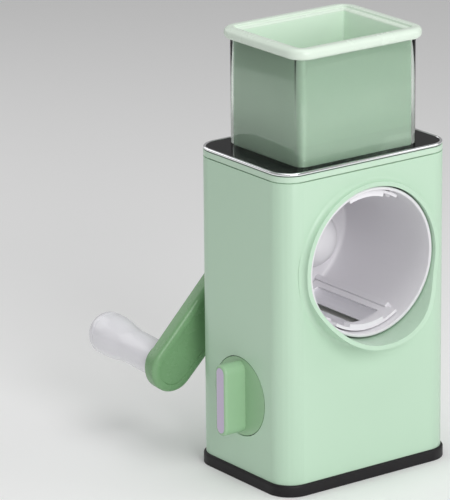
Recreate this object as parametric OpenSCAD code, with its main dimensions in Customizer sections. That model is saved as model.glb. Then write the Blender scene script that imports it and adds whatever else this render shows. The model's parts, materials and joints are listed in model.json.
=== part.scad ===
// Rotary cheese grater: upright body on a suction foot, feed chute with a pusher,
// pull-out drum with two slicing plates, and a crank with a turning grip at the back.
// Millimetres. +Z up, drum mouth faces -Y, suction knob on the -X side, crank on the +Y side.
// The origin is the centre of the base's underside.

/* [Body] */
// Width of the body across its front face
body_width = 124; // [100:1:160]
// Depth of the body from front to back
body_depth = 88; // [72:1:110]
// Height of the split line under the top cover
body_top = 191; // [158:1:232]
// Radius of the body's upright corners
body_corner = 14; // [8:0.5:18]
// Thickness of the body's walls
body_wall = 2.5; // [1.8:0.1:4]
// Height of the black base below the body
base_height = 7; // [5:0.5:10]
// How far the base stands out beyond the body
base_overhang = 1.5; // [0.5:0.1:3]
// Height of the top cover
cover_height = 4; // [3:0.5:8]
// Height of the chrome trim plate
trim_height = 2.2; // [1.5:0.1:4]

/* [Drum] */
// Outer radius of the drum
drum_radius = 45.3; // [36:0.1:56]
// Thickness of the drum's wall
drum_wall = 2; // [1.5:0.1:3]
// Radial gap between drum and chamber
drum_gap = 0.9; // [0.5:0.1:2]
// How far the drum's rim stands out of the front face
drum_proud = 2.5; // [0:0.5:6]
// Half of the angle a slicing plate spans
plate_half_angle = 32.5; // [24:0.5:38]
// Radius of the hub inside the drum
hub_radius = 18; // [12:0.5:22]
// Length of the hub from the drum's back to its nose
hub_length = 39; // [32:0.5:50]
// Depth of the hub's domed nose
hub_dome = 14; // [8:0.5:18]

/* [Collar] */
// Reach of the collar's lip at its top
lip_top_reach = 4; // [3:0.5:10]
// Reach of the collar's lip at mid-height
lip_mid_reach = 4.6; // [3:0.1:12]
// Reach of the collar's lip at its bottom
lip_low_reach = 18.5; // [12:0.5:26]
// Thickness of the collar's wall
collar_wall = 2.6; // [2:0.1:4]

/* [Chute and pusher] */
// Distance from the drum's outside in to the chute's side
chute_side_inset = 1.3; // [0.5:0.1:10]
// Distance from the body's front to the chute
chute_front_inset = 8.5; // [8:0.5:16]
// Height of the chute above the trim plate
chute_height = 63.3; // [45:0.1:90]
// Thickness of the clear chute's wall
chute_wall = 2.2; // [1.5:0.1:3.5]
// Radius of the chute's upright corners
chute_corner = 6; // [4:0.5:10]
// Gap between pusher and chute on each side
pusher_gap = 0.5; // [0.3:0.1:1.5]
// Width of the rim beyond the chute
rim_overhang = 4.3; // [2:0.1:7]
// Height of the pusher's rim
rim_height = 6.7; // [5:0.1:10]

/* [Crank] */
// Gap left under the arm when it points down
crank_floor_gap = 13.8; // [6:0.1:40]
// Angle of the arm below the horizontal at rest
crank_drop = 47.2; // [0:0.1:90]
// Angle at which the arm leans away from the body
crank_lean = 3; // [0:0.5:6]
// Radius of the arm's outer end
arm_tip_radius = 15.1; // [12:0.1:20]
// Radius of the arm's hub end
arm_hub_radius = 16.8; // [13:0.1:22]
// Thickness of the arm
arm_thickness = 10; // [7:0.5:14]
// Length of the turning grip
grip_length = 68; // [50:1:90]
// Radius of the grip next to the arm
grip_radius = 10.9; // [8:0.1:14]
// Radius of the grip's bulb
grip_bulb_radius = 13.3; // [10:0.1:17]

/* [Suction foot] */
// Radius of the knob's disc
knob_radius = 23.9; // [18:0.1:30]
// Height of the knob above the middle of the space under the drum
knob_rise = 6; // [-4:0.5:10]
// How far the knob's bar stands out
bar_reach = 14.5; // [10:0.5:20]
// Width of the knob's bar
bar_width = 10.6; // [8:0.2:14]
// Distance from the body's front in to the suction cup
cup_inset = 8; // [5:0.5:16]
// How far the cam lifts the cup
cup_lift = 4; // [2:0.5:5]

/* [Fits] */
// Radial clearance of turning shafts
run_clear = 0.05; // [0.02:0.01:0.1]
// Clearance of pieces that slide or lift off
slide_clear = 0.15; // [0.1:0.01:0.3]

/* [Hidden] */
$fn = 96;
eps = 0.01;

hx = body_width / 2;
hy = body_depth / 2;
inner_hx = hx - body_wall;
inner_hy = hy - body_wall;
inner_corner = body_corner - body_wall;
trim_bottom = body_top + cover_height;
trim_top = trim_bottom + trim_height;

// drum and its chamber
chamber_radius = drum_radius + drum_gap;
chamber_wall = 2.4;
chamber_outer = chamber_radius + chamber_wall;
crown_depth = 7.9;
axis_z = body_top - crown_depth - chamber_outer;
drum_inner = drum_radius - drum_wall;
drum_front = -hy - drum_proud;
drum_back = inner_hy - 4.5;
drum_floor = 2.2;
collar_outer = chamber_radius + collar_wall;
lip_bend_top = -8;
lip_bend_low = 0.8 - collar_outer;
collar_fillet = 3;

// plates: sheet steel on a carrier, between guide rails on the drum's inside
blade_step = 0.8;
blade_sheet = 0.4;
sheet_gap = 0.05;
blade_outer = drum_inner - blade_step - 0.1;
blade_inner = blade_outer - blade_sheet;
carrier_outer = blade_inner - sheet_gap;
carrier_inner = carrier_outer - 1.3;
rail_lip = 1.1;
rail_inner = carrier_inner - 0.1 - rail_lip;
rail_angle = plate_half_angle + 0.4;
plate_front = drum_front + 5;
plate_back = drum_back - drum_floor - 1;
blade_front = plate_front + 7.5;
plate_frame_front = 11;
plate_frame_back = 6;
window_half = plate_half_angle - 4.5;
slot_angle = 4;

// chute
chute_hx = drum_radius - chute_side_inset;
chute_hy = hy - chute_front_inset;
chute_bottom = body_top - 5;
chute_top = trim_top + chute_height;
duct_wall = 2;
duct_hx = chute_hx + slide_clear + duct_wall;
duct_hy = chute_hy + slide_clear + duct_wall;
throat_hx = chute_hx - chute_wall;
throat_hy = chute_hy - chute_wall;
throat_corner = chute_corner - chute_wall;
pusher_hx = throat_hx - pusher_gap;
pusher_hy = throat_hy - pusher_gap;
pusher_corner = throat_corner - pusher_gap;
pusher_wall = 2;
pusher_bottom = axis_z + drum_radius + 4.2;
rim_bottom = chute_top + 0.15;
rim_round = 2.9;

// shaft and crank
square_side = 8.5;
socket_wall = 2.6;
socket_depth = 7.5;
journal_radius = 6;
hub_nose = drum_back - hub_length;
hub_shoulder = hub_nose + hub_dome;
shaft_flange_radius = 9;
bush_radius = 8;
bush_flange = 12;
bush_inner_face = inner_hy - 1.5;
nut_height = 2;
bush_end = hy + nut_height + 0.2;
crank_front = hy + 3.2;
crank_hub_front = hy + 2.9;
crank_hub_back = crank_front + arm_thickness + 1.2;
crank_seat = crank_hub_back - 6.5;
crank_screw_seat = crank_seat + 2.5;
crank_cap_radius = 9.4;
crank_boss_radius = crank_cap_radius + 3.2;
crank_screw_radius = 2;
crank_screw_length = 9;
crank_length = axis_z - arm_tip_radius - crank_floor_gap;
pin_radius = 3;
pin_head_radius = 5.4;
pin_start = 2;
tip_boss_radius = arm_tip_radius - 1.6;
tip_boss_height = 2.4;
grip_start = arm_thickness + tip_boss_height + 0.4;
grip_end = grip_start + grip_length;
pin_fit = 0.02;
pin_end = grip_end - 6;
grip_cap_radius = 8;

// suction mechanism
chamber_low = axis_z - chamber_outer;
knob_z = (base_height + chamber_low) / 2 + knob_rise;
knob_gap = 0.5;
bar_half_length = knob_radius - 1.9;
bar_edge = 1.7;
cam_radius = 5;
cam_window = cup_lift + cam_radius + 1.1;
cam_slack = 1.1;
head_wall = 2.5;
head_half_y = cam_window + head_wall;
head_low = knob_z - cam_radius - cam_slack - head_wall;
head_high = knob_z + cam_radius + cam_slack + head_wall;
head_half_x = 6;
stem_radius = 4;
cup_r = hy - cup_inset;
cup_top = 8.4;
cup_wall = 2;
cup_plate = 3;
cup_plate_radius = 13;
plate_top = cup_top + cup_plate;
bridge_top = head_low - 1.5;
bridge_thickness = 3;
bridge_bottom = bridge_top - bridge_thickness;
bridge_half_x = 22;
bridge_half_y = cup_r + 1.7;
ear_inner = head_half_x + 3.5;
ear_width = 3;
ear_outer = ear_inner + ear_width;
ear_radius = 8.5;
cam_end = ear_outer + 1;
base_floor = 3.5;
base_hole = cup_r + 1;
screw_x = hx - 11;
screw_y = hy - 11;
screw_radius = 1.6;
screw_head = 3.2;
screw_head_height = 1.8;
screw_seat = 2.6;
screw_hole_top = base_height + 20;
head_pocket = 2.6;
slot_width = 0.8;
slot_depth = 0.8;
boss_radius = 4.2;
boss_top = base_height + 24;
boss_web = 2.4;
locator_top = base_height + 2.5;
locator_gap = 0.1;
locator_wall = 1.6;
knob_seat_x = -inner_hx;
knob_screw_radius = 1.5;
knob_screw_end = knob_seat_x + 10;
knob_socket = 2.4;
spring_radius = 8;
spring_wire = 1.6;

// ---- shared shapes ----

module rounded(w, d, r) {
  union() {
    square([w - 2 * r, d], center = true);
    square([w, d - 2 * r], center = true);
    for (sx = [-1, 1], sy = [-1, 1])
      translate([sx * (w / 2 - r), sy * (d / 2 - r)]) circle(r);
  }
}

module block(half_x, half_y, r, z0, z1) {
  translate([0, 0, z0])
    linear_extrude(height = z1 - z0) rounded(2 * half_x, 2 * half_y, r);
}

// rim that finds its place inside the body's walls, and the space within it
module locator(z0, z1) {
  block(inner_hx - locator_gap, inner_hy - locator_gap, inner_corner - locator_gap, z0, z1);
}

module locator_inside(z0, z1) {
  in = locator_gap + locator_wall;
  block(inner_hx - in, inner_hy - in, inner_corner - in, z0, z1);
}

// section of a block's edge, rounded by low at the bottom and by high at the top
module edge_section(r, h, low, high) {
  square([r - low, h / 2]);
  translate([0, h / 2]) square([r - high, h / 2]);
  translate([0, low]) square([r, h - low - high]);
  if (low > 0) translate([r - low, low]) circle(low);
  if (high > 0) translate([r - high, h - high]) circle(high);
}

module soft_block(half_x, half_y, r, z0, z1, low, high) {
  flat_x = half_x - r;
  flat_y = half_y - r;
  translate([0, 0, z0]) {
    translate([-flat_x, -flat_y, 0]) cube([2 * flat_x, 2 * flat_y, z1 - z0]);
    for (turn = [0, 180]) rotate([0, 0, turn]) {
      translate([flat_x, flat_y, 0]) rotate([90, 0, 0])
        linear_extrude(height = 2 * flat_y) edge_section(r, z1 - z0, low, high);
      translate([-flat_x, flat_y, 0]) rotate([90, 0, 90])
        linear_extrude(height = 2 * flat_x) edge_section(r, z1 - z0, low, high);
      translate([flat_x, flat_y, 0])
        rotate_extrude(angle = 90) edge_section(r, z1 - z0, low, high);
      translate([-flat_x, flat_y, 0]) rotate([0, 0, 90])
        rotate_extrude(angle = 90) edge_section(r, z1 - z0, low, high);
    }
  }
}

module along_y(y0, y1, r) {
  translate([0, y0, 0]) rotate([-90, 0, 0]) cylinder(h = y1 - y0, r = r);
}

module along_x(x0, x1, r) {
  translate([x0, 0, 0]) rotate([0, 90, 0]) cylinder(h = x1 - x0, r = r);
}

module square_y(y0, y1, side) {
  translate([-side / 2, y0, -side / 2]) cube([side, y1 - y0, side]);
}

// sector of a ring about the drum's axis, its middle at angle mid measured from +X to +Z
module ring_sector(y0, y1, r0, r1, mid, half) {
  translate([0, y1, 0]) rotate([90, 0, 0]) rotate([0, 0, mid - half])
    rotate_extrude(angle = 2 * half) translate([r0, 0]) square([r1 - r0, y1 - y0]);
}

// ---- body ----

// side view of the lip: u forward from the front face, v up from the drum's axis
module lip_profile() {
  back = 3;
  far = collar_outer + 3;
  steps = 24;
  polygon([[-back, far], [lip_top_reach, far], [lip_top_reach, collar_outer],
    for (i = [0:steps])
      let (t = i / steps, ease = (1 - cos(180 * t)) / 2)
        [lip_mid_reach + (lip_low_reach - lip_mid_reach) * ease,
          lip_bend_top + (lip_bend_low - lip_bend_top) * t],
    [lip_low_reach, -far], [-back, -far]]);
}

module collar() {
  root = -hy + 1.5;
  intersection() {
    along_y(-hy - lip_low_reach - 1, root, collar_outer);
    translate([-collar_outer - 1, -hy, 0]) rotate([90, 0, 90])
      linear_extrude(height = 2 * collar_outer + 2) mirror([1, 0, 0]) lip_profile();
  }
  translate([0, root, 0]) rotate([90, 0, 0]) rotate_extrude() difference() {
    translate([collar_outer - 1, 0]) square([collar_fillet + 1, collar_fillet + 1.5]);
    translate([collar_outer + collar_fillet, collar_fillet + 1.5]) circle(collar_fillet);
  }
}

module body_shell() {
  color([0.74, 0.86, 0.74]) {
    difference() {
      union() {
        block(hx, hy, body_corner, base_height, body_top);
        translate([0, 0, axis_z]) collar();
      }
      block(inner_hx, inner_hy, inner_corner, base_height - 1, body_top + 1);
      translate([0, 0, axis_z]) {
        along_y(-hy - lip_low_reach - 2, -inner_hy + inner_corner, chamber_radius);
        along_y(inner_hy - 1, hy + 1, bush_radius);
      }
      translate([0, 0, knob_z]) along_x(-hx - 1, knob_seat_x + 1, knob_radius + knob_gap);
    }
    for (sx = [-1, 1], sy = [-1, 1])
      difference() {
        intersection() {
          block(inner_hx + 1, inner_hy + 1, inner_corner + 1, base_height, boss_top);
          translate([sx * screw_x, sy * screw_y, base_height]) union() {
            cylinder(h = boss_top - base_height, r = boss_radius);
            translate([-boss_web / 2, min(0, sy * body_corner), 0])
              cube([boss_web, body_corner, boss_top - base_height]);
          }
        }
        translate([sx * screw_x, sy * screw_y, base_height - 1])
          cylinder(h = screw_hole_top - base_height + 1, r = screw_radius + run_clear);
      }
  }
}

module drum_chamber() {
  duct_root = axis_z + sqrt(pow(chamber_outer, 2) - pow(duct_hx, 2)) - 2;
  color([0.9, 0.92, 0.9])
    difference() {
      union() {
        intersection() {
          translate([0, 0, axis_z]) along_y(-inner_hy, inner_hy, chamber_outer);
          block(inner_hx, inner_hy, inner_corner, base_height, body_top);
        }
        block(duct_hx, duct_hy, chute_corner + slide_clear + duct_wall, duct_root, body_top);
      }
      translate([0, 0, axis_z]) along_y(-inner_hy - 1, inner_hy + 1, chamber_radius);
      block(throat_hx, throat_hy, throat_corner, axis_z, body_top);
      block(chute_hx + slide_clear, chute_hy + slide_clear, chute_corner + slide_clear,
        chute_bottom, body_top + 1);
    }
}

module top_cover() {
  rim_drop = 3;
  seam_height = 0.6;
  seam_depth = 0.7;
  color([0.78, 0.88, 0.78])
    difference() {
      union() {
        block(hx, hy, body_corner, body_top + seam_height, trim_bottom);
        block(hx - seam_depth, hy - seam_depth, body_corner - seam_depth, body_top,
          body_top + seam_height);
        locator(body_top - rim_drop, body_top);
      }
      locator_inside(body_top - rim_drop - 1, body_top);
      block(chute_hx + slide_clear, chute_hy + slide_clear, chute_corner + slide_clear,
        body_top - 1, trim_bottom + 1);
    }
}

module chrome_trim() {
  edge = 0.8;
  color([0.2, 0.2, 0.22])
    difference() {
      soft_block(hx, hy, body_corner, trim_bottom, trim_top, 0, edge);
      block(chute_hx + slide_clear, chute_hy + slide_clear, chute_corner + slide_clear,
        trim_bottom - 1, trim_top + 1);
    }
}

// ---- chute and pusher ----

module feed_chute() {
  color([0.85, 0.92, 0.88, 0.35])
    difference() {
      block(chute_hx, chute_hy, chute_corner, chute_bottom, chute_top);
      block(throat_hx, throat_hy, throat_corner, chute_bottom - 1, chute_top + 1);
    }
}

module pusher() {
  rim_hx = chute_hx + rim_overhang;
  rim_hy = chute_hy + rim_overhang;
  rim_corner = chute_corner + rim_overhang + 1.5;
  rim_top = rim_bottom + rim_height;
  color([0.66, 0.82, 0.68])
    difference() {
      union() {
        block(pusher_hx, pusher_hy, pusher_corner, pusher_bottom, rim_bottom + 1);
        soft_block(rim_hx, rim_hy, rim_corner, rim_bottom, rim_top, rim_round, rim_round);
      }
      block(pusher_hx - pusher_wall, pusher_hy - pusher_wall, pusher_corner - 1.2,
        pusher_bottom + pusher_wall, rim_top + 1);
    }
}

// ---- drum ----

module rails(mid) {
  foot = 2.6;
  rail_front = plate_front + 8;
  rail_back = drum_back - drum_floor + eps;
  for (s = [-1, 1]) {
    ring_sector(rail_front, rail_back, rail_inner, drum_inner + 0.4,
      mid + s * (rail_angle + foot / 2), foot / 2);
    ring_sector(rail_front, rail_back, rail_inner, rail_inner + rail_lip,
      mid + s * (rail_angle - foot / 2 + eps), foot / 2 + eps);
  }
}

module drum() {
  cap_depth = hub_shoulder - hub_nose;
  cap_edge = hub_radius + 0.5;
  cap_radius = (cap_edge * cap_edge + cap_depth * cap_depth) / (2 * cap_depth);
  window_front = plate_front + 9;
  window_back = plate_back - 4;
  color([0.8, 0.8, 0.83])
    translate([0, 0, axis_z]) difference() {
      union() {
        difference() {
          along_y(drum_front, drum_back, drum_radius);
          along_y(drum_front - 1, drum_back - drum_floor, drum_inner);
          for (mid = [90, 270])
            ring_sector(window_front, window_back, drum_inner - 2, drum_radius + 2, mid, window_half);
        }
        for (mid = [90, 270]) rails(mid);
        translate([0, hub_nose, 0]) rotate([-90, 0, 0]) rotate_extrude() intersection() {
          square([hub_radius, drum_back - hub_nose]);
          union() {
            translate([0, cap_radius]) circle(cap_radius);
            translate([0, cap_depth]) square([2 * hub_radius, drum_back - hub_shoulder]);
          }
        }
      }
      difference() {
        along_y(hub_shoulder, drum_back + 1, hub_radius - 2);
        along_y(hub_shoulder - 1, drum_back + 2, square_side / sqrt(2) + socket_wall);
      }
      square_y(hub_nose + socket_depth, drum_back + 1, square_side + 2 * slide_clear);
    }
}

module plate_carrier(mid) {
  tab_half = 18;
  tab_rise = 2;
  tab_depth = 5.5;
  frame_side = 3;
  translate([0, 0, axis_z]) {
    difference() {
      ring_sector(plate_front, plate_back, carrier_inner, carrier_outer, mid, plate_half_angle);
      ring_sector(plate_front + plate_frame_front, plate_back - plate_frame_back,
        carrier_inner - 1, carrier_outer + 1, mid, window_half - frame_side);
    }
    ring_sector(plate_front, plate_front + tab_depth, carrier_inner - tab_rise, carrier_inner + eps,
      mid, tab_half);
    ring_sector(plate_front, blade_front, carrier_inner, blade_outer, mid, plate_half_angle);
  }
}

module plate_carrier_top() {
  color([0.82, 0.82, 0.84]) plate_carrier(90);
}

module plate_carrier_bottom() {
  color([0.82, 0.82, 0.84]) plate_carrier(270);
}

// sheet with one long slot, and a raised cutting edge behind it
module slicing_blade(mid) {
  slot_front = blade_front + 5;
  edge_inset = 0.5;
  edge_rise = 0.5;
  edge_angle = 2;
  edge_gap = 0.3;
  slot_back = plate_back - plate_frame_back;
  translate([0, 0, axis_z]) {
    difference() {
      ring_sector(blade_front, plate_back, blade_inner, blade_outer, mid, plate_half_angle);
      ring_sector(slot_front, slot_back, blade_inner - 1, blade_outer + 1, mid + slot_angle,
        slot_angle);
    }
    ring_sector(slot_front + edge_inset, slot_back - edge_inset, blade_outer - blade_sheet / 2,
      blade_outer + edge_rise, mid - edge_angle - edge_gap, edge_angle);
  }
}

module slicing_blade_top() {
  color([0.86, 0.86, 0.88]) slicing_blade(90);
}

module slicing_blade_bottom() {
  color([0.86, 0.86, 0.88]) slicing_blade(270);
}

// ---- shaft, bush and crank ----

module drive_shaft() {
  color([0.7, 0.71, 0.73])
    translate([0, 0, axis_z]) difference() {
      union() {
        square_y(hub_nose + socket_depth + 1, bush_inner_face - 1.5, square_side);
        along_y(bush_inner_face - 1.6, bush_inner_face - 0.2, shaft_flange_radius);
        along_y(bush_inner_face - 1, crank_hub_front, journal_radius);
        square_y(crank_hub_front - eps, crank_seat, square_side);
      }
      along_y(crank_seat - crank_screw_length - 3, crank_seat + 1, crank_screw_radius + run_clear);
    }
}

module rear_bush() {
  color([0.3, 0.3, 0.31])
    translate([0, 0, axis_z]) difference() {
      union() {
        along_y(bush_inner_face, inner_hy, bush_flange);
        along_y(inner_hy - eps, bush_end, bush_radius);
      }
      along_y(bush_inner_face - 1, bush_end + 1, journal_radius + run_clear);
    }
}

module bush_nut() {
  color([0.3, 0.3, 0.31])
    translate([0, 0, axis_z]) difference() {
      translate([0, hy + nut_height, 0]) rotate([90, 0, 0])
        cylinder(h = nut_height, r = bush_flange, $fn = 6);
      along_y(hy - 1, bush_end + 1, bush_radius);
    }
}

// from the crank's own axes, X along the arm and Y away from the body, to the object's
module crank_place(lean) {
  translate([0, crank_front, axis_z]) rotate([0, 180 - crank_drop, 0]) rotate([0, 0, lean])
    children();
}

module arm_outline() {
  slope = asin((arm_hub_radius - arm_tip_radius) / crank_length);
  circle(arm_hub_radius);
  translate([crank_length, 0]) circle(arm_tip_radius);
  polygon([
    [arm_hub_radius * sin(slope), arm_hub_radius * cos(slope)],
    [crank_length + arm_tip_radius * sin(slope), arm_tip_radius * cos(slope)],
    [crank_length + arm_tip_radius * sin(slope), -arm_tip_radius * cos(slope)],
    [arm_hub_radius * sin(slope), -arm_hub_radius * cos(slope)]]);
}

module crank_arm() {
  color([0.6, 0.78, 0.6])
    difference() {
      union() {
        crank_place(crank_lean) {
          rotate([-90, 0, 0]) linear_extrude(height = arm_thickness) arm_outline();
          translate([crank_length, 0, 0])
            along_y(arm_thickness - 1, arm_thickness + tip_boss_height, tip_boss_radius);
        }
        translate([0, 0, axis_z]) along_y(crank_hub_front, crank_hub_back, crank_boss_radius);
      }
      translate([0, 0, axis_z]) {
        along_y(crank_screw_seat, crank_hub_back + 1, crank_cap_radius + 0.1);
        along_y(crank_hub_front - 2, crank_hub_front, journal_radius + 8);
        square_y(crank_hub_front - 1, crank_seat + 0.3, square_side + 2 * run_clear);
        along_y(crank_seat, crank_screw_seat + 1, crank_screw_radius + run_clear);
      }
      crank_place(crank_lean) translate([crank_length, 0, 0])
        along_y(pin_start, arm_thickness + tip_boss_height + 1, pin_radius + pin_fit);
    }
}

module crank_screw() {
  head_height = 2;
  cross_width = 1.2;
  cross_length = 6;
  color([0.72, 0.72, 0.74])
    translate([0, 0, axis_z]) difference() {
      union() {
        along_y(crank_seat - crank_screw_length, crank_screw_seat + eps, crank_screw_radius);
        along_y(crank_screw_seat, crank_screw_seat + head_height, 4.6);
      }
      for (turn = [0, 90]) rotate([0, turn, 0])
        translate([-cross_width / 2, crank_screw_seat + head_height / 2, -cross_length / 2])
          cube([cross_width, head_height, cross_length]);
    }
}

module crank_cap() {
  color([0.6, 0.78, 0.6])
    translate([0, 0, axis_z])
      along_y(crank_hub_back - 1.6, crank_hub_back, crank_cap_radius);
}

module grip_pin() {
  color([0.72, 0.72, 0.74])
    crank_place(crank_lean) translate([crank_length, 0, 0]) {
      along_y(pin_start, pin_end, pin_radius);
      along_y(pin_end - eps, pin_end + 2.5, pin_head_radius);
    }
}

module grip() {
  bulb_at = grip_length - 15;
  neck_length = grip_length * 0.44;
  tip = 9;
  color([0.83, 0.83, 0.86])
    crank_place(crank_lean) translate([crank_length, grip_start, 0]) rotate([-90, 0, 0])
      rotate_extrude() difference() {
        union() {
          polygon([[0, 0], [grip_radius - 1, 0], [grip_radius, 1],
            for (i = [0:10])
              let (t = i / 10, ease = (1 - cos(180 * t)) / 2)
                [grip_radius + (grip_bulb_radius - grip_radius) * ease,
                  neck_length + t * (bulb_at - neck_length)],
            [grip_bulb_radius, grip_length - tip], [0, grip_length - tip]]);
          translate([grip_bulb_radius - tip, grip_length - tip]) intersection() {
            circle(tip);
            square(tip);
          }
          translate([0, grip_length - tip - eps]) square([grip_bulb_radius - tip + eps, tip + eps]);
        }
        translate([-1, -1]) square([1 + pin_radius + run_clear, grip_length + 2]);
        translate([-1, pin_end - grip_start - 0.1]) square([1 + grip_cap_radius, grip_length]);
      }
}

module grip_cap() {
  color([0.8, 0.8, 0.84])
    crank_place(crank_lean) translate([crank_length, 0, 0])
      along_y(grip_end - 2.4, grip_end - 0.2, grip_cap_radius);
}

// ---- base and suction foot ----

module base_frame() {
  edge = 1.4;
  out_x = hx + base_overhang;
  out_y = hy + base_overhang;
  out_r = body_corner + base_overhang;
  color([0.2, 0.19, 0.2])
    difference() {
      union() {
        soft_block(out_x, out_y, out_r, 0, base_height, 0, edge);
        difference() {
          locator(0, locator_top);
          locator_inside(0, locator_top + 1);
          for (sx = [-1, 1], sy = [-1, 1])
            translate([sx * screw_x, sy * screw_y, base_height])
              translate([-7, -body_corner, 0]) cube([14, 2 * body_corner, 5]);
        }
      }
      difference() {
        locator_inside(base_floor, locator_top + 1);
        for (sx = [-1, 1], sy = [-1, 1])
          translate([sx * screw_x, sy * screw_y, 0]) cylinder(h = base_height, r = boss_radius);
      }
      translate([0, 0, -1]) cylinder(h = base_height + 1, r = base_hole);
      for (sx = [-1, 1], sy = [-1, 1])
        translate([sx * screw_x, sy * screw_y, -1]) {
          cylinder(h = base_height + 2, r = screw_radius + run_clear);
          cylinder(h = head_pocket + 1, r = screw_head + 0.3);
        }
    }
}

module base_screws() {
  screw_end = base_height + 16;
  color([0.6, 0.6, 0.62])
    for (sx = [-1, 1], sy = [-1, 1])
      translate([sx * screw_x, sy * screw_y, 0]) difference() {
        union() {
          translate([0, 0, screw_seat - screw_head_height])
            cylinder(h = screw_head_height, r = screw_head);
          translate([0, 0, 2]) cylinder(h = screw_end - 2, r = screw_radius);
        }
        for (turn = [0, 90]) rotate([0, 0, turn]) translate([-2, -slot_width / 2, 0])
          cube([4, slot_width, screw_seat - screw_head_height + slot_depth]);
      }
}

module suction_cup() {
  foot = 1.4;
  neck = 9;
  color([0.24, 0.24, 0.25])
    rotate_extrude() polygon([[cup_r, 0], [cup_r, foot], [cup_r - 5, foot + 1.2],
      [neck + 5, cup_top - 0.8], [neck, cup_top], [0, cup_top],
      [0, cup_top - cup_wall], [neck, cup_top - cup_wall - 0.4], [cup_r - 6, 1], [cup_r - 4, 0]]);
}

module cup_stem() {
  color([0.86, 0.86, 0.84])
    difference() {
      union() {
        translate([0, 0, cup_top]) cylinder(h = cup_plate, r = cup_plate_radius);
        translate([0, 0, cup_top]) cylinder(h = head_low - cup_top + 1, r = stem_radius);
        translate([-head_half_x, -head_half_y, head_low])
          cube([2 * head_half_x, 2 * head_half_y, head_high - head_low]);
      }
      translate([-head_half_x - 1, -cam_window, head_low + head_wall])
        cube([2 * head_half_x + 2, 2 * cam_window, head_high - head_low - 2 * head_wall]);
    }
}

module suction_spring() {
  color([0.66, 0.67, 0.69])
    translate([0, 0, plate_top]) difference() {
      cylinder(h = bridge_bottom - plate_top, r = spring_radius);
      translate([0, 0, -1]) cylinder(h = bridge_bottom, r = spring_radius - spring_wire);
    }
}

module suction_bridge() {
  leg = 2;
  color([0.86, 0.86, 0.84])
    difference() {
      union() {
        translate([-bridge_half_x, -bridge_half_y, bridge_bottom])
          cube([2 * bridge_half_x, 2 * bridge_half_y, bridge_thickness]);
        for (s = [-1, 1]) {
          translate([-bridge_half_x, s * (bridge_half_y - leg / 2) - leg / 2, base_floor])
            cube([2 * bridge_half_x, leg, bridge_bottom - base_floor + 1]);
          ear_x = s * (ear_inner + ear_outer) / 2 - ear_width / 2;
          translate([ear_x, -ear_radius, bridge_bottom])
            cube([ear_width, 2 * ear_radius, knob_z - bridge_bottom]);
          translate([0, 0, knob_z]) along_x(ear_x, ear_x + ear_width, ear_radius);
        }
      }
      translate([0, 0, bridge_bottom - 1]) cylinder(h = 6, r = stem_radius + slide_clear);
      translate([0, 0, knob_z]) along_x(-ear_outer - 1, ear_outer + 1, cam_radius + run_clear);
    }
}

module cam_shaft() {
  color([0.7, 0.71, 0.73])
    translate([0, 0, knob_z]) {
      difference() {
        along_x(knob_seat_x + 2.5, -ear_inner + 1, cam_radius);
        along_x(knob_seat_x + 2, knob_screw_end + 2, knob_screw_radius + run_clear);
      }
      translate([0, cup_lift, 0]) along_x(-ear_inner + 1 - eps, ear_inner - 1 + eps, cam_radius);
      along_x(ear_inner - 1, cam_end, cam_radius);
    }
}

module knob_bearing() {
  flange = knob_radius + knob_gap + 3;
  thick = 3.6;
  color([0.3, 0.3, 0.31])
    translate([0, 0, knob_z]) difference() {
      intersection() {
        along_x(knob_seat_x, knob_seat_x + thick, flange);
        block(inner_hx, inner_hy, inner_corner, locator_top + 0.3 - knob_z, flange + 1);
      }
      along_x(knob_seat_x - 1, knob_seat_x + 1.2, knob_radius + knob_gap);
      along_x(knob_seat_x - 1, knob_seat_x + thick + 1, bush_radius + run_clear);
    }
}

module suction_knob() {
  tip = -hx - bar_reach;
  bar_in = -hx - 1;
  half_w = bar_width / 2;
  color([0.7, 0.85, 0.7])
    translate([0, 0, knob_z]) difference() {
      union() {
        along_x(-hx, knob_seat_x + 0.9, knob_radius);
        along_x(knob_seat_x, knob_screw_end, bush_radius);
        for (s = [-1, 1])
          translate([0, 0, s * (bar_half_length - half_w)]) along_x(tip + bar_edge, bar_in + 2, half_w);
        translate([tip + bar_edge, -half_w, half_w - bar_half_length])
          cube([bar_in + 2 - tip - bar_edge, bar_width, 2 * (bar_half_length - half_w)]);
        bar_tip(tip, half_w);
      }
      bar_pocket(tip, half_w - bar_edge);
      along_x(tip + 1, -hx, 3.4);
      along_x(tip, knob_seat_x + 3, knob_screw_radius + run_clear);
      along_x(knob_seat_x + knob_socket, knob_screw_end + 1, cam_radius + pin_fit);
    }
}

// rounded outer edge of the bar
module bar_tip(tip, half_w) {
  end = bar_half_length - half_w;
  translate([tip + bar_edge, 0, 0]) {
    for (s = [-1, 1]) {
      translate([0, 0, s * end]) rotate([0, 90, 0])
        rotate_extrude() translate([half_w - bar_edge, 0]) circle(bar_edge);
      translate([0, s * (half_w - bar_edge), 0])
        cylinder(h = 2 * end, r = bar_edge, center = true);
    }
  }
  translate([tip, 0, 0]) bar_slab(half_w - bar_edge, bar_edge + 1);
}

module bar_slab(half_w, depth) {
  end = bar_half_length - bar_width / 2;
  for (s = [-1, 1]) translate([0, 0, s * end]) along_x(0, depth, half_w);
  translate([0, -half_w, -end]) cube([depth, 2 * half_w, 2 * end]);
}

module bar_pocket(tip, half_w) {
  translate([tip - 1, 0, 0]) bar_slab(half_w, 2.2);
}

module knob_cap() {
  color([0.76, 0.71, 0.81])
    translate([-hx - bar_reach + 0.05, 0, knob_z]) bar_slab(bar_width / 2 - bar_edge - 0.05, 1.1);
}

module knob_screw() {
  seat = -hx;
  color([0.72, 0.72, 0.74])
    translate([0, 0, knob_z]) {
      along_x(seat - 1, knob_screw_end, knob_screw_radius);
      along_x(seat - 2, seat, 2.9);
    }
}

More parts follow.
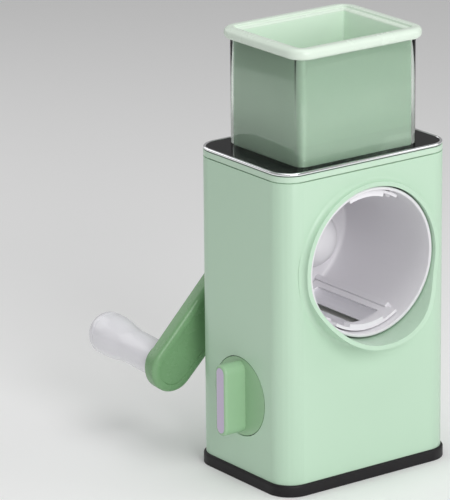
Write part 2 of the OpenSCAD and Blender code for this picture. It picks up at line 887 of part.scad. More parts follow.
body_shell();
drum_chamber();
top_cover();
chrome_trim();
feed_chute();
pusher();
drum();
plate_carrier_top();
plate_carrier_bottom();
slicing_blade_top();
slicing_blade_bottom();
drive_shaft();
rear_bush();
bush_nut();
crank_arm();
crank_screw();
crank_cap();
grip_pin();
grip();
grip_cap();
base_frame();
base_screws();
suction_cup();
cup_stem();
suction_spring();
suction_bridge();
cam_shaft();
knob_bearing();
suction_knob();
knob_cap();
knob_screw();
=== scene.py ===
"""Rotary cheese grater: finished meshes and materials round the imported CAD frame. Metres, Z up."""
import json
import math

import bmesh
import bpy
from mathutils import Matrix, Vector


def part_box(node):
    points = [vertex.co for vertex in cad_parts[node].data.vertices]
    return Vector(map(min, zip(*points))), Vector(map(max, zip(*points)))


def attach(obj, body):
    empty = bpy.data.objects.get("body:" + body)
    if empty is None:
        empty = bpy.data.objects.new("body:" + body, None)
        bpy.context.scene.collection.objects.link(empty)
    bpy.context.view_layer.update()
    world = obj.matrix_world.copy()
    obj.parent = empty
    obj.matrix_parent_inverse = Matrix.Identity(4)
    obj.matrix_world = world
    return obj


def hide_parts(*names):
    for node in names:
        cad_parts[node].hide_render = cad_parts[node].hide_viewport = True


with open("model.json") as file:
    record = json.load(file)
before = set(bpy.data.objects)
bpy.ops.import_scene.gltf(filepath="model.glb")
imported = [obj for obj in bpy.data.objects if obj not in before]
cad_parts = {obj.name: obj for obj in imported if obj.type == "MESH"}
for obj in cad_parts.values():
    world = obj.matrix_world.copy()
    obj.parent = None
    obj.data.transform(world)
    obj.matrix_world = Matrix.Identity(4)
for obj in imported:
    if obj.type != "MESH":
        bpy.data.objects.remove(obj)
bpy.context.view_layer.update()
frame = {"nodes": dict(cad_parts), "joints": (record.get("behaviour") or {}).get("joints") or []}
nodes = frame["nodes"]
MM = 0.001
SAME_POINT = 0.001 * MM


# ---- sizes read from the frame ----

def half(node):
    """Half a node's size along each axis."""
    low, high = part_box(node)
    return (high - low) / 2


def joint(name):
    """The frame's own record of a joint."""
    return next(j for j in frame["joints"] if j["name"] == name)


AXIS_Z = joint("crank_turn")["pos_m"][2]


# ---- mesh helpers ----

def add_mesh(name, bm, material, body, replaced=(), sharp=40):
    """Turns a bmesh into a piece that rides on a body and stands for some CAD nodes."""
    bmesh.ops.recalc_face_normals(bm, faces=bm.faces)
    for face in bm.faces:
        face.smooth = True
    mesh = bpy.data.meshes.new(name)
    bm.to_mesh(mesh)
    bm.free()
    mesh.set_sharp_from_angle(angle=math.radians(sharp))
    piece = bpy.data.objects.new(name, mesh)
    bpy.context.scene.collection.objects.link(piece)
    mesh.materials.append(material)
    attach(piece, body)
    if replaced:
        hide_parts(*replaced)
    return piece


def rounded_loop(half_x, half_y, radius, z, per_corner=12, at=(0, 0)):
    """Points round a rectangle with round corners, anticlockwise from above."""
    radius = max(radius, 0.02 * MM)
    points = []
    for corner, (sx, sy) in enumerate(((1, 1), (-1, 1), (-1, -1), (1, -1))):
        cx, cy = at[0] + sx * (half_x - radius), at[1] + sy * (half_y - radius)
        for step in range(per_corner + 1):
            angle = math.radians(90 * (corner + step / per_corner))
            points.append(Vector((cx + radius * math.cos(angle), cy + radius * math.sin(angle), z)))
    return points


def loft(bm, loops, close_ends=True, ring=False):
    """Joins loops of equal length with faces: a tube with capped ends, or a closed ring."""
    rows = [[bm.verts.new(p) for p in loop] for loop in loops]
    count = len(rows[0])
    pairs = list(zip(rows, rows[1:]))
    if ring:
        pairs.append((rows[-1], rows[0]))
    for a, b in pairs:
        for i in range(count):
            j = (i + 1) % count
            bm.faces.new((a[i], a[j], b[j], b[i]))
    if close_ends and not ring:
        bm.faces.new(rows[0])
        bm.faces.new(rows[-1])
    return rows


def arc(cx, cy, radius, start, end, steps=6):
    """Points on an arc in a profile, angles in degrees."""
    return [(cx + radius * math.cos(math.radians(start + (end - start) * i / steps)),
             cy + radius * math.sin(math.radians(start + (end - start) * i / steps)))
            for i in range(steps + 1)]


def turned_row(bm, place, radius, height, angles):
    """Vertices at those angles round the local Z axis that place puts in the frame."""
    return [bm.verts.new(place @ Vector((radius * math.cos(t), radius * math.sin(t), height)))
            for t in angles]


def lathe(bm, profile, place, segments=96):
    """Turns a profile of (radius, height) about a local Z axis that place puts in the frame."""
    rows = []
    for radius, height in profile:
        if radius < 1e-7:
            rows.append([bm.verts.new(place @ Vector((0, 0, height)))])
            continue
        rows.append(turned_row(bm, place, radius, height,
                               [2 * math.pi * i / segments for i in range(segments)]))
    for a, b in zip(rows, rows[1:]):
        for i in range(segments):
            j = (i + 1) % segments
            corners = [a[i % len(a)], a[j % len(a)], b[j % len(b)], b[i % len(b)]]
            unique = list(dict.fromkeys(corners))
            if len(unique) > 2:
                bm.faces.new(unique)
    return rows


def axes(origin, z_axis, x_hint=(0, 0, 1)):
    """Matrix whose Z runs along z_axis from origin."""
    z = Vector(z_axis).normalized()
    x = (Vector(x_hint) - Vector(x_hint).dot(z) * z).normalized()
    turned = Matrix((x, z.cross(x), z)).transposed().to_4x4()
    return Matrix.Translation(Vector(origin)) @ turned


# ---- material helpers ----

def principled(name):
    """A new node material with its tree and shader."""
    material = bpy.data.materials.new(name)
    material.use_nodes = True
    tree = material.node_tree
    return material, tree, tree.nodes["Principled BSDF"]


def noise(tree, scale, detail=3.0, roughness=0.5):
    """A noise in the object's own metres."""
    place = tree.nodes.get("place") or tree.nodes.new("ShaderNodeTexCoord")
    place.name = "place"
    made = tree.nodes.new("ShaderNodeTexNoise")
    made.inputs["Scale"].default_value = scale
    made.inputs["Detail"].default_value = detail
    made.inputs["Roughness"].default_value = roughness
    tree.links.new(place.outputs["Object"], made.inputs["Vector"])
    return made


def spread(tree, source, low, high):
    """Maps the middle of a noise to a narrow range of values."""
    made = tree.nodes.new("ShaderNodeMapRange")
    made.inputs["From Min"].default_value = 0.3
    made.inputs["From Max"].default_value = 0.7
    made.inputs["To Min"].default_value = low
    made.inputs["To Max"].default_value = high
    tree.links.new(source, made.inputs["Value"])
    return made.outputs["Result"]


def tint(tree, source, first, second):
    """A colour that wanders between two near shades."""
    made = tree.nodes.new("ShaderNodeMix")
    made.data_type = "RGBA"
    made.inputs["A"].default_value = (*first, 1)
    made.inputs["B"].default_value = (*second, 1)
    tree.links.new(source, made.inputs["Factor"])
    return made.outputs["Result"]


def bumps(tree, shader, source, distance, strength):
    """Lets a texture raise the surface by up to a distance."""
    made = tree.nodes.new("ShaderNodeBump")
    made.inputs["Distance"].default_value = distance
    made.inputs["Strength"].default_value = strength
    tree.links.new(source, made.inputs["Height"])
    tree.links.new(made.outputs["Normal"], shader.inputs["Normal"])


def linear(red, green, blue):
    """Linear colour from an 8-bit sRGB one."""
    def one(value):
        value = value / 255
        return value / 12.92 if value <= 0.04045 else ((value + 0.055) / 1.055) ** 2.4
    return one(red), one(green), one(blue)


def plastic(name, colour, rough=0.3, change=0.012, grain=0.12, coat=0.0, sub=0.0, specular=0.5):
    """Moulded plastic: slight drift of shade, uneven gloss and a fine orange-peel surface."""
    material, tree, shader = principled(name)
    base = linear(*colour)
    cloud = noise(tree, 14, 4)
    lighter = tuple(min(1, c * (1 + change)) for c in base)
    darker = tuple(c * (1 - change) for c in base)
    tree.links.new(tint(tree, cloud.outputs["Fac"], darker, lighter), shader.inputs["Base Color"])
    handling = noise(tree, 55, 6, 0.6)
    tree.links.new(spread(tree, handling.outputs["Fac"], rough * 0.92, rough * 1.1),
                   shader.inputs["Roughness"])
    peel = noise(tree, 900, 2)
    bumps(tree, shader, peel.outputs["Fac"], 0.00006, grain)
    shader.inputs["IOR"].default_value = 1.5
    shader.inputs["Specular IOR Level"].default_value = specular
    shader.inputs["Coat Weight"].default_value = coat
    shader.inputs["Coat Roughness"].default_value = 0.08
    if sub:
        shader.inputs["Subsurface Weight"].default_value = sub
        shader.inputs["Subsurface Radius"].default_value = (1, 1, 1)
        shader.inputs["Subsurface Scale"].default_value = 0.002
    return material


def metal(name, colour, rough=0.2, brushed=(1, 1, 1), change=0.05, grain=0.2):
    """Steel or chrome: fine brushing along the stretched axis and a wandering gloss."""
    material, tree, shader = principled(name)
    base = linear(*colour)
    shader.inputs["Metallic"].default_value = 1
    stretch = tree.nodes.new("ShaderNodeMapping")
    stretch.inputs["Scale"].default_value = brushed
    lines = noise(tree, 700, 3)
    tree.links.new(tree.nodes["place"].outputs["Object"], stretch.inputs["Vector"])
    tree.links.new(stretch.outputs["Vector"], lines.inputs["Vector"])
    lighter = tuple(min(1, c * (1 + change)) for c in base)
    darker = tuple(c * (1 - change) for c in base)
    tree.links.new(tint(tree, lines.outputs["Fac"], darker, lighter), shader.inputs["Base Color"])
    smear = noise(tree, 40, 5, 0.6)
    tree.links.new(spread(tree, smear.outputs["Fac"], rough * 0.8, rough * 1.3),
                   shader.inputs["Roughness"])
    bumps(tree, shader, lines.outputs["Fac"], 0.00004, grain)
    return material


def clear_plastic(name, colour, rough=0.02):
    """Clear moulded plastic with faint flow marks."""
    material, tree, shader = principled(name)
    flow = noise(tree, 30, 3)
    base = linear(*colour)
    lighter = tuple(min(1, c * 1.02) for c in base)
    tree.links.new(tint(tree, flow.outputs["Fac"], base, lighter), shader.inputs["Base Color"])
    tree.links.new(spread(tree, flow.outputs["Fac"], rough, rough * 2), shader.inputs["Roughness"])
    bumps(tree, shader, flow.outputs["Fac"], 0.0001, 0.03)
    shader.inputs["Transmission Weight"].default_value = 1
    shader.inputs["Specular IOR Level"].default_value = 0.9
    shader.inputs["IOR"].default_value = 1.57
    return material


def rubber(name, colour, rough=0.55):
    """Matt rubber with a dusty bloom."""
    material, tree, shader = principled(name)
    base = linear(*colour)
    dust = noise(tree, 90, 6, 0.65)
    lighter = tuple(min(1, c * 1.3 + 0.004) for c in base)
    tree.links.new(tint(tree, dust.outputs["Fac"], base, lighter), shader.inputs["Base Color"])
    tree.links.new(spread(tree, dust.outputs["Fac"], rough * 0.9, rough * 1.15),
                   shader.inputs["Roughness"])
    pores = noise(tree, 1400, 2)
    bumps(tree, shader, pores.outputs["Fac"], 0.00005, 0.5)
    return material


# ---- materials ----

body_green = plastic("body_green", (191, 220, 196), rough=0.32)
cover_green = plastic("cover_green", (197, 223, 201), rough=0.3)
pusher_green = plastic("pusher_green", (221, 241, 223), rough=0.3, grain=0.02)
# The rim's material is a paler, greyer copy of the pusher's green for the same moulding: painted light
# where the rounded rim top catches the light.
lit_rim_green = plastic("lit_rim_green", (222, 236, 222), rough=0.26, grain=0.05)
# The trim plate and its seam are painted near black with little specular: a painted dark reflection
# standing in for the chrome top mirroring dark surroundings.
painted_reflection_black = plastic("painted_reflection_black", (10, 11, 13), rough=0.06, grain=0.02, specular=0.08)
trim_chrome = metal("trim_chrome", (250, 251, 253), rough=0.07, grain=0.03, change=0.02)
chute_clear = clear_plastic("chute_clear", (238, 248, 240))
drum_grey = plastic("drum_grey", (230, 228, 232), rough=0.34)
carrier_grey = plastic("carrier_grey", (238, 236, 240), rough=0.34)
blade_steel = metal("blade_steel", (248, 248, 250), rough=0.5, brushed=(1, 0.05, 1))
shaft_steel = metal("shaft_steel", (190, 191, 196), rough=0.24, brushed=(1, 0.1, 1))
spring_steel = metal("spring_steel", (180, 181, 186), rough=0.25)
crank_green = plastic("crank_green", (124, 166, 121), rough=0.27, change=0.01)
grip_grey = plastic("grip_grey", (238, 237, 242), rough=0.2, coat=0.3, sub=0.25)
base_black = plastic("base_black", (28, 25, 28), rough=0.5, grain=0.4, specular=0.3)
inner_white = plastic("inner_white", (222, 224, 219), rough=0.4)
# Near black for the bushes; on the knob bearing the same near black is painted shade, darkening the
# ring gap round the knob.
bush_black_and_gap_shade = plastic("bush_black_and_gap_shade", (20, 20, 22), rough=0.5, specular=0.3)
knob_green = plastic("knob_green", (158, 196, 157), rough=0.25, change=0.01)
cap_lilac = plastic("cap_lilac", (206, 192, 218), rough=0.3)
cup_rubber = rubber("cup_rubber", (38, 38, 40))

FINISH = {
    "body_shell": body_green, "drum_chamber": inner_white, "top_cover": cover_green,
    # The chrome trim's top is painted near black as a painted dark reflection.
    "chrome_trim": painted_reflection_black, "feed_chute": chute_clear, "pusher": pusher_green,
    "drum": drum_grey, "plate_carrier_top": carrier_grey, "plate_carrier_bottom": carrier_grey,
    "slicing_blade_top": blade_steel, "slicing_blade_bottom": blade_steel,
    "drive_shaft": shaft_steel, "rear_bush": bush_black_and_gap_shade, "bush_nut": bush_black_and_gap_shade,
    "crank_arm": crank_green, "crank_screw": shaft_steel, "crank_cap": crank_green,
    "grip_pin": shaft_steel, "grip": grip_grey, "grip_cap": grip_grey,
    "base_frame": base_black, "base_screws": shaft_steel, "suction_cup": cup_rubber,
    "cup_stem": inner_white, "suction_spring": spring_steel, "suction_bridge": inner_white,
    # The knob bearing's near black is painted shade for the ring gap round the knob.
    "cam_shaft": shaft_steel, "knob_bearing": bush_black_and_gap_shade, "suction_knob": knob_green,
    "knob_cap": cap_lilac, "knob_screw": shaft_steel,
}
BEVELLED = {"body_shell": 0.35, "top_cover": 0.3, "base_frame": 0.4, "knob_cap": 0.3}


def finish_node(name):
    """Gives a kept CAD node its material and, where it shows, small round edges."""
    node = nodes[name]
    for slot in node.material_slots:
        slot.material = FINISH[name]
    if name in BEVELLED:
        weld = node.modifiers.new("weld", "WELD")
        weld.merge_threshold = 0.002 * MM
        bevel = node.modifiers.new("edges", "BEVEL")
        bevel.width = BEVELLED[name] * MM
        bevel.segments = 3
        bevel.limit_method = "ANGLE"
        bevel.angle_limit = math.radians(35)
        bevel.harden_normals = True


for name in nodes:
    finish_node(name)


# ---- feed chute, pusher and trim: loops of a rounded rectangle, one above the other ----

CHUTE_CORNER = 6 * MM


def around(node, z, inset=0.0, corner=0.0):
    """A loop inset from a node's outline at height z; corner is its radius at inset 0."""
    size = half(node)
    return rounded_loop(size.x - inset, size.y - inset, corner - inset, z)


def edge(node, corner, inset, z, radius, start, end, steps=6):
    """Loops along a rounded edge whose arc is centred at that inset and height."""
    return [around(node, h, i, corner) for i, h in arc(inset, z, radius, start, end, steps)]


def make_chute():
    """Clear sleeve with soft mouth and foot edges, inside and outside."""
    corner, wall, soft = CHUTE_CORNER, 2.2 * MM, 0.5 * MM
    low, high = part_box("feed_chute")
    loops = edge("feed_chute", corner, soft, low.z + soft, soft, 270, 180, 3)
    loops += edge("feed_chute", corner, soft, high.z - soft, soft, 180, 90, 3)
    loops += edge("feed_chute", corner, wall - soft, high.z - soft, soft, 90, 0, 3)
    loops += edge("feed_chute", corner, wall - soft, low.z + soft, soft, 0, -90, 3)
    bm = bmesh.new()
    loft(bm, loops, ring=True)
    add_mesh("clear_chute", bm, chute_clear, "chute", ["feed_chute"])


def make_pusher():
    """Open box under a broad rounded rim, with a small ledge just inside its mouth."""
    overhang, wall, rim_height = 7.0 * MM, 2 * MM, 6.7 * MM
    rim_corner, box_corner = 11.8 * MM, 3.3 * MM
    round_rim, round_mouth, round_foot = 2.9 * MM, 1.5 * MM, 1.2 * MM
    round_floor = 2 * MM
    ledge_in, ledge_drop, ledge_soft = wall - 2.6 * MM, 1.7 * MM, 0.5 * MM
    low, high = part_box("pusher")
    under = high.z - rim_height

    def box_edge(inset, z, radius, start, end, steps=5):
        return [around("pusher", h, overhang + i, overhang + box_corner)
                for i, h in arc(inset, z, radius, start, end, steps)]

    walls = [around("pusher", low.z, overhang + round_foot, overhang + box_corner)]
    walls += box_edge(round_foot, low.z + round_foot, round_foot, 270, 180)
    walls += [around("pusher", under, overhang, overhang + box_corner)]
    bm = bmesh.new()
    loft(bm, walls, close_ends=False)
    bm.faces.new(list(bm.verts)[:len(walls[0])])
    rim = [around("pusher", under, overhang, overhang + box_corner)]
    rim += edge("pusher", rim_corner, round_rim, under + round_rim, round_rim, 270, 180)
    rim += edge("pusher", rim_corner, round_rim, high.z - round_rim, round_rim, 180, 90)
    rim += box_edge(ledge_in - ledge_soft, high.z - ledge_soft, ledge_soft, 90, 0, 3)
    rim += box_edge(ledge_in + ledge_soft, high.z - ledge_drop + ledge_soft, ledge_soft, 180, 270, 3)
    rim += box_edge(wall - round_mouth, high.z - ledge_drop - round_mouth, round_mouth, 90, 0)
    first_rim = len(bm.faces)
    rows = loft(bm, rim, close_ends=False)
    bm.faces.ensure_lookup_table()
    # The rim's faces take the paler copy of the pusher's green: painted light on the rim.
    for face in bm.faces[first_rim:]:
        face.material_index = 1
    inside = [[v.co.copy() for v in rows[-1]]]
    inside += box_edge(wall + round_floor, low.z + wall + round_floor, round_floor, 180, 270)
    rows = loft(bm, inside, close_ends=False)
    bm.faces.new(rows[-1])
    bmesh.ops.remove_doubles(bm, verts=bm.verts, dist=SAME_POINT)
    piece = add_mesh("pusher_box", bm, pusher_green, "pusher", ["pusher"])
    piece.data.materials.append(lit_rim_green)


def make_trim():
    """Chrome top's dark reflection painted in as a gloss black plate inside a half-round chrome rim,
    with an inset seam under it in the same painted black.
    """
    corner, band, dip = 14 * MM, 0.95 * MM, 0.3 * MM
    seam_depth, seam_height, hole_gap = 0.7 * MM, 0.27 * MM, 0.15 * MM
    low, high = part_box("chrome_trim")
    hole = around("feed_chute", low.z, -hole_gap, CHUTE_CORNER)
    middle = high.z - band
    seam_top = low.z + seam_height
    bm = bmesh.new()
    outer = [around("chrome_trim", z, seam_depth, corner) for z in (low.z, seam_top)]
    chrome = edge("chrome_trim", corner, band, middle, band, 250, 0, 14)
    chrome = [[Vector((p.x, p.y, max(p.z, seam_top))) for p in loop] for loop in chrome]
    plate = [around("chrome_trim", high.z - dip, 2 * band + 0.1 * MM, corner)]
    top_hole = [Vector((p.x, p.y, high.z - dip)) for p in hole]
    loops = outer + chrome + plate + [top_hole, hole]
    loft(bm, loops, ring=True)
    bm.faces.ensure_lookup_table()
    per_row = len(hole)
    for row in range(len(outer), len(outer) + len(chrome) - 1):
        for face in bm.faces[row * per_row:(row + 1) * per_row]:
            face.material_index = 1
    piece = add_mesh("trim_plate", bm, painted_reflection_black, "body", ["chrome_trim"])
    piece.data.materials.append(trim_chrome)


# ---- drum: a turned shell with two windows, and guide rails ----

DRUM_WALL = 2 * MM


def drum_place():
    """Local Z forward out of the drum's mouth, from the drum's axis at y = 0."""
    return axes((0, 0, AXIS_Z), (0, -1, 0))


def make_drum():
    """Double-walled shell with two plate windows, a domed hub and a square socket behind it."""
    low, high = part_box("drum")
    front, back = -low.y, -high.y
    outer, floor = half("drum").x, 2.2 * MM
    inner, soft = outer - DRUM_WALL, 0.8 * MM
    hub, nose, dome, foot = 18 * MM, 2 * MM, 14 * MM, 2.5 * MM
    window_front, window_back, window_half, step = front - 14 * MM, back + 7.2 * MM, 28, 2
    hub_wall, hub_bore, hub_edge = 2 * MM, 8.6 * MM, 1.2 * MM
    socket, socket_depth = 4.4 * MM, 7.5 * MM
    rail_angle, rail_setback = 32.9, 13 * MM
    shoulder = nose - dome
    crown = (hub * hub + dome * dome) / (2 * dome)
    rim_span = math.degrees(math.asin(hub / crown))
    profile = [(outer, window_back), (outer, window_front)]
    profile += arc(outer - soft, front - soft, soft, 0, 90, 4)
    profile += arc(inner + soft, front - soft, soft, 90, 180, 4)
    profile += [(inner, window_front), (inner, window_back)]
    profile += arc(inner - foot, back + floor + foot, foot, 0, -90, 5)
    profile += arc(hub + foot, back + floor + foot, foot, 270, 180, 5)
    profile += [(hub, shoulder - hub_edge)]
    profile += arc(0, nose - crown, crown, 90 - rim_span + 3, 90, 14)[:-1]
    place = drum_place()
    columns = [math.radians(step * i) for i in range(360 // step)]
    bm = bmesh.new()
    rows = [turned_row(bm, place, r, h, columns) for r, h in profile]
    count = len(columns)
    cut = {i for i in range(count) for middle in (0, 180)
           if abs((step * (i + 0.5) - middle + 180) % 360 - 180) < window_half}
    inner_row = next(i for i, p in enumerate(profile) if i > 2 and p == (inner, window_front))
    for k in range(len(rows) - 1):
        for i in range(count):
            if k in (0, inner_row) and i in cut:
                continue
            j = (i + 1) % count
            bm.faces.new((rows[k][i], rows[k][j], rows[k + 1][j], rows[k + 1][i]))
    for i in cut:
        j = (i + 1) % count
        bm.faces.new((rows[1][i], rows[1][j], rows[inner_row][j], rows[inner_row][i]))
        bm.faces.new((rows[0][i], rows[0][j], rows[inner_row + 1][j], rows[inner_row + 1][i]))
        for side, near in ((i, (i - 1) % count), (j, j)):
            if near not in cut:
                bm.faces.new((rows[0][side], rows[1][side],
                              rows[inner_row][side], rows[inner_row + 1][side]))
    tip = bm.verts.new(place @ Vector((0, 0, nose)))
    for i in range(count):
        bm.faces.new((rows[-1][i], rows[-1][(i + 1) % count], tip))
    back_profile = [(outer, window_back)] + arc(outer - soft, back + soft, soft, 0, -90, 4)
    hub_inner, hub_roof = hub - hub_wall, shoulder - hub_wall
    back_profile += [(hub_inner, back), (hub_inner, hub_roof), (hub_bore, hub_roof),
                     (hub_bore, back)]
    shell = [rows[0]] + [turned_row(bm, place, r, h, columns) for r, h in back_profile[1:]]

    def square(t):
        c, s = math.cos(t), math.sin(t)
        reach = socket / max(abs(c), abs(s))
        return reach * c, reach * s

    for depth in (back, nose - socket_depth):
        shell.append([bm.verts.new(place @ Vector((*square(t), depth))) for t in columns])
    for a, b in zip(shell, shell[1:]):
        for i in range(count):
            j = (i + 1) % count
            bm.faces.new((a[i], a[j], b[j], b[i]))
    bm.faces.new(shell[-1])
    for middle in (90, 270):
        for side in (-1, 1):
            make_rail(bm, middle + side * rail_angle, side, front - rail_setback, back + floor, inner)
    add_mesh("drum_shell", bm, drum_grey, "drum", ["drum"], sharp=30)


def make_rail(bm, angle, side, front, back, outer):
    """A rail with its lip turned over the plate's edge, swept along the drum."""
    lip, web, root = 1.1 * MM, 39.45 * MM, 0.5 * MM
    bevel, turn_half, turn_soft = 0.3 * MM, 2.6, 0.25
    reach, shoulder = outer + root, web + bevel
    section = [(reach, 0), (reach, turn_half), (shoulder, turn_half), (web, turn_half - turn_soft),
               (web, turn_soft - turn_half), (shoulder, -turn_half), (web + lip, -turn_half),
               (web + lip, 0)]
    loops = []
    for y, inset in ((-front, bevel), (-front + bevel, 0), (-back, 0)):
        loop = []
        for radius, turn in section:
            t = math.radians(angle + side * turn)
            r = radius + inset if radius < outer - DRUM_WALL else radius
            loop.append(Vector((r * math.cos(t), y, AXIS_Z + r * math.sin(t))))
        loops.append(loop)
    loft(bm, loops)


# ---- crank arm and grip, along the grip's own axis ----

GRIP_AXIS = Vector(joint("grip_spin")["axis"])
GRIP_START = Vector(joint("grip_spin")["pos_m"])
ARM_THICK = 10 * MM
GRIP_GAP = 0.4 * MM
HUB_FRONT = Vector((0, 47.2 * MM, AXIS_Z))
ARM_TO_GRIP = (GRIP_START - HUB_FRONT).dot(GRIP_AXIS)
ARM_FRONT = GRIP_START - GRIP_AXIS * ARM_TO_GRIP


def make_arm():
    """Arm with a soft raised edge round a sunk panel, a seat for the grip and a hub ring each side."""
    hub_r, tip_r = 16.8 * MM, 15.1 * MM
    edge_in, edge_drop, panel_drop, back_edge = 4.6 * MM, 2.2 * MM, 0.7 * MM, 1.2 * MM
    seat_r, seat_end, soft = 13.5 * MM, ARM_TO_GRIP - GRIP_GAP, 0.8 * MM
    boss_r, ring_r, ring_depth, boss_depth = 12.6 * MM, 9.5 * MM, 2.2 * MM, 8 * MM
    front_end, front_edge = 52 * MM, 0.8 * MM
    along = ARM_FRONT - HUB_FRONT
    length = along.length
    u = along.normalized()
    v = GRIP_AXIS.cross(u)
    tangent = math.acos((hub_r - tip_r) / length)

    def outline(inset, height):
        points = []
        for origin, radius, start, end in ((length, tip_r, -tangent, tangent),
                                           (0, hub_r, tangent, 2 * math.pi - tangent)):
            for i in range(33):
                t = start + (end - start) * i / 32
                r = radius - inset
                points.append(HUB_FRONT + u * (origin + r * math.cos(t)) + v * (r * math.sin(t))
                              + GRIP_AXIS * height)
        return points

    profile = [(edge_in + 0.8 * MM, panel_drop), (edge_in + 0.3 * MM, panel_drop)]
    for i in range(11):
        t = math.radians(90 * i / 10)
        profile.append((edge_in * (1 - math.sin(t)), edge_drop * (1 - math.cos(t))))
    profile += arc(back_edge, ARM_THICK - back_edge, back_edge, 180, 90, 5)
    bm = bmesh.new()
    loft(bm, [outline(i, h) for i, h in profile])
    seat_foot = ARM_THICK - 1 * MM
    seat = [(0, seat_foot), (seat_r, seat_foot)]
    seat += arc(seat_r - soft, seat_end - soft, soft, 0, 90, 5) + [(0, seat_end)]
    lathe(bm, seat, axes(ARM_FRONT, GRIP_AXIS), 64)
    shaft = axes((0, 0, AXIS_Z), (0, 1, 0))
    boss_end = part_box("crank_cap")[1].y
    ring = [(0, boss_end - ring_depth), (ring_r, boss_end - ring_depth),
            (ring_r, boss_end - 0.3 * MM)]
    ring += arc(boss_r - soft, boss_end - soft, soft, 90, 0, 5)
    ring += [(boss_r, boss_end - boss_depth), (0, boss_end - boss_depth)]
    lathe(bm, ring, shaft, 72)
    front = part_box("crank_arm")[0].y
    front_ring = [(0, front), (boss_r - front_edge, front), (boss_r, front + front_edge),
                  (boss_r, front_end), (0, front_end)]
    lathe(bm, front_ring, shaft, 72)
    add_mesh("arm", bm, crank_green, "crank", ["crank_arm"], sharp=35)


def make_grip():
    """Bulb-ended sleeve with a shallow groove near its end, and the plug in its end."""
    length, neck, bulb, tip, foot = 68 * MM, 10.9 * MM, 13.3 * MM, 9 * MM, 1 * MM
    bore, pocket, floor = 3.05 * MM, 8.05 * MM, 61.9 * MM
    bulb_at, waist_from = length - 15 * MM, length * 0.44
    profile = [(bore, 0), (neck - foot, 0)] + arc(neck - foot, foot, foot, -90, 0, 4)
    for i in range(25):
        t = i / 24
        ease = (1 - math.cos(math.pi * t)) / 2
        profile.append((neck + (bulb - neck) * ease,
                        waist_from + t * (bulb_at - waist_from)))
    for depth, back in ((0, 1.6), (0.35, 1.3), (0.35, 0.8), (0, 0.5)):
        profile.append((bulb - depth * MM, length - tip - back * MM))
    profile += arc(bulb - tip, length - tip, tip, 0, 66, 10)
    profile += [(pocket + 0.25 * MM, length - 0.35 * MM), (pocket, length - 0.7 * MM),
                (pocket, floor), (bore, floor), (bore, 0)]
    place = axes(GRIP_START, GRIP_AXIS)
    bm = bmesh.new()
    lathe(bm, profile, place, 80)
    bmesh.ops.remove_doubles(bm, verts=bm.verts, dist=SAME_POINT)
    add_mesh("grip_sleeve", bm, grip_grey, "grip_sleeve", ["grip"], sharp=35)
    plug_foot, plug_r = floor + 3.7 * MM, 7.6 * MM
    cap = [(0, plug_foot), (plug_r, plug_foot)]
    cap += arc(plug_r - 0.2 * MM, length - 1.1 * MM, 0.5 * MM, 0, 80, 4)
    cap += [(5 * MM, length - 0.35 * MM), (0, length - 0.2 * MM)]
    bm = bmesh.new()
    lathe(bm, cap, place, 64)
    add_mesh("grip_plug", bm, grip_grey, "grip_sleeve", ["grip_cap"])


# ---- suction foot ----

def make_cup():
    """Bell with a thin lip on the table and fine steps up its back."""
    radius, top = half("suction_cup").x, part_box("suction_cup")[1].z
    neck, wall, lip, steps = 9 * MM, 2 * MM, 0.7 * MM, 12
    step_height, lip_top, shoulder = 0.12 * MM, 1.6 * MM, top - 0.8 * MM
    back_foot, back_neck = radius - 2 * MM, neck + 4 * MM
    profile = [(0, top - wall), (neck, top - wall - 0.4 * MM)]
    profile += [(radius - 6 * MM, 1 * MM), (radius - 4 * MM, 0.05 * MM), (radius - 0.5 * MM, 0)]
    profile += arc(radius - lip, lip, lip, -60, 90, 5)
    for i in range(1, steps + 1):
        t = i / steps
        r = back_foot + (back_neck - back_foot) * t
        z = lip_top + (shoulder - lip_top) * t + step_height * (i % 2)
        profile.append((r, z))
    profile += [(neck, top), (0, top)]
    bm = bmesh.new()
    lathe(bm, profile, Matrix.Identity(4), 96)
    add_mesh("cup", bm, cup_rubber, "plunger", ["suction_cup"])


def make_spring():
    """Round wire in a coil whose pitch closes towards both ends."""
    low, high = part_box("suction_spring")
    coil, wire, turns = 7.2 * MM, 0.75 * MM, 7
    steps, sides = 24 * turns, 10
    bm = bmesh.new()
    loops = []
    for i in range(steps + 1):
        t = i / steps
        squeeze = t - 0.3 * math.sin(2 * math.pi * t) / turns
        angle = 2 * math.pi * turns * t
        z = low.z + wire + (high.z - low.z - 2 * wire) * min(1, max(0, squeeze))
        out = Vector((math.cos(angle), math.sin(angle), 0))
        middle = out * coil + Vector((0, 0, z))
        loops.append([middle + out * (wire * math.cos(2 * math.pi * k / sides))
                      + Vector((0, 0, wire * math.sin(2 * math.pi * k / sides)))
                      for k in range(sides)])
    loft(bm, loops)
    add_mesh("spring_coil", bm, spring_steel, "plunger", ["suction_spring"])


make_chute()
make_pusher()
make_trim()
make_drum()
make_arm()
make_grip()
make_cup()
make_spring()


# ---- floor, light and camera ----

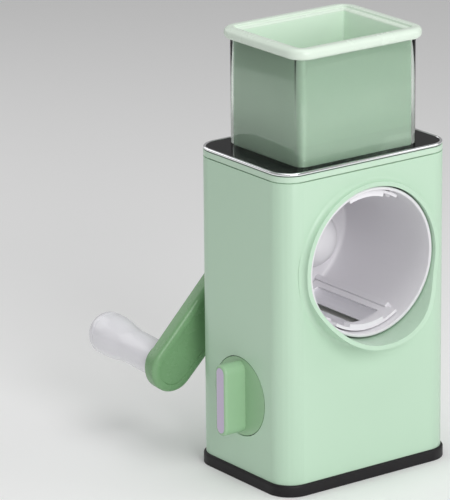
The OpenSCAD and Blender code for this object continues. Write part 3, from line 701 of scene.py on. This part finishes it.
def make_floor():
    """Plain pale floor, which isn't part of the grater."""
    bm = bmesh.new()
    bmesh.ops.create_grid(bm, x_segments=1, y_segments=1, size=3)
    mesh = bpy.data.meshes.new("floor")
    bm.to_mesh(mesh)
    bm.free()
    floor = bpy.data.objects.new("floor", mesh)
    bpy.context.scene.collection.objects.link(floor)
    material, _, shader = principled("floor_white")
    shader.inputs["Base Color"].default_value = (0.97, 0.97, 0.97, 1)
    shader.inputs["Roughness"].default_value = 0.7
    mesh.materials.append(material)


def area_light(name, place, aim, size, power):
    data = bpy.data.lights.new(name, "AREA")
    data.shape = "RECTANGLE"
    data.size, data.size_y = size
    data.energy = power
    light = bpy.data.objects.new(name, data)
    light.location = place
    light.rotation_euler = (Vector(aim) - Vector(place)).to_track_quat("-Z", "Y").to_euler()
    bpy.context.scene.collection.objects.link(light)


def make_lights():
    """Soft key from the front, weaker fill from the right and behind, a wide light above."""
    middle = (0, 0, 0.13)
    area_light("key", (-0.26, -1.1, 0.62), middle, (0.6, 0.6), 6.9)
    area_light("side", (0.9, -0.7, 0.5), middle, (0.6, 0.6), 1.6)
    area_light("top", (0.0, -0.1, 1.2), middle, (0.9, 0.9), 4.6)
    area_light("rear", (-0.3, 1.0, 0.6), middle, (0.8, 0.6), 1.6)
    world = bpy.data.worlds.new("studio")
    bpy.context.scene.world = world
    world.use_nodes = True
    background = world.node_tree.nodes["Background"]
    background.inputs["Color"].default_value = (1, 1, 1, 1)
    background.inputs["Strength"].default_value = 0.33


def make_camera():
    """A long lens in front of the left corner, a little above the grater."""
    azimuth, elevation, roll = (math.radians(v) for v in (-36.167, 17.421, -0.525))
    aim, distance = Vector((-0.0720, 0, 0.1445)), 2.3541
    back = Vector((math.sin(azimuth) * math.cos(elevation),
                   -math.cos(azimuth) * math.cos(elevation), math.sin(elevation)))
    level = Vector((math.cos(azimuth), math.sin(azimuth), 0))
    upward = back.cross(level)
    right = level * math.cos(roll) + upward * math.sin(roll)
    up = upward * math.cos(roll) - level * math.sin(roll)
    data = bpy.data.cameras.new("camera")
    data.lens = 291.6
    data.clip_end = 20
    camera = bpy.data.objects.new("camera", data)
    turned = Matrix((right, up, back)).transposed().to_4x4()
    camera.matrix_world = Matrix.Translation(aim + back * distance) @ turned
    bpy.context.scene.collection.objects.link(camera)
    bpy.context.scene.camera = camera


make_floor()
make_lights()
make_camera()
bpy.context.scene.view_settings.view_transform = "Standard"
